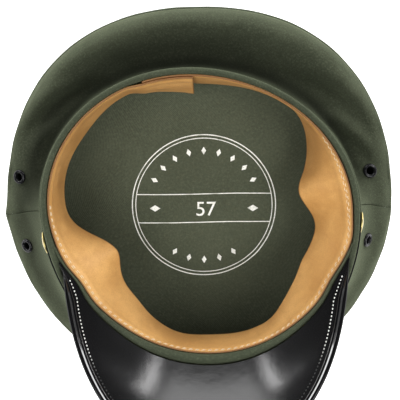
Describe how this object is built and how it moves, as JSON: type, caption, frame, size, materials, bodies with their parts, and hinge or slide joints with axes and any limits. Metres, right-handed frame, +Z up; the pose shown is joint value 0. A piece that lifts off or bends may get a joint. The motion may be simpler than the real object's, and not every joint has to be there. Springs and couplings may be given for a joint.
{
  "type": "peaked service cap",
  "caption": "Military-style peaked cap in olive cloth, lying upside down on its flat crown, with a leather sweatband, patent peak and chin strap.",
  "frame": {"origin": "under the middle of the cap's bounding box, on the face of the crown that it lies on", "axes": "+Z up out of the head opening, square to the flat crown; the peak points to -Y; +X to the side that is on the right in the picture"},
  "size_m": [0.2598, 0.2612, 0.1444],
  "materials": {
    "cloth": "matt twill cloth",
    "lining_cloth": "smooth matt cloth",
    "leather": "natural tan, satin",
    "patent": "black patent",
    "brass": "polished",
    "black_metal": "black enamel"
  },
  "bodies": {
    "root": {"crown_top": "cloth", "crown_piping": "cloth", "quarter_back": "cloth", "quarter_front": "cloth", "band": "cloth", "band_welt": "cloth", "edge_roll": "cloth", "lining": "lining_cloth", "sweatband": "leather", "peak": "patent", "peak_binding": "patent", "chin_strap": "patent", "button_left": "brass", "button_right": "brass", "eyelet_left_back": "black_metal", "eyelet_left_front": "black_metal", "eyelet_right_back": "black_metal", "eyelet_right_front": "black_metal"}
  },
  "joints": []
}
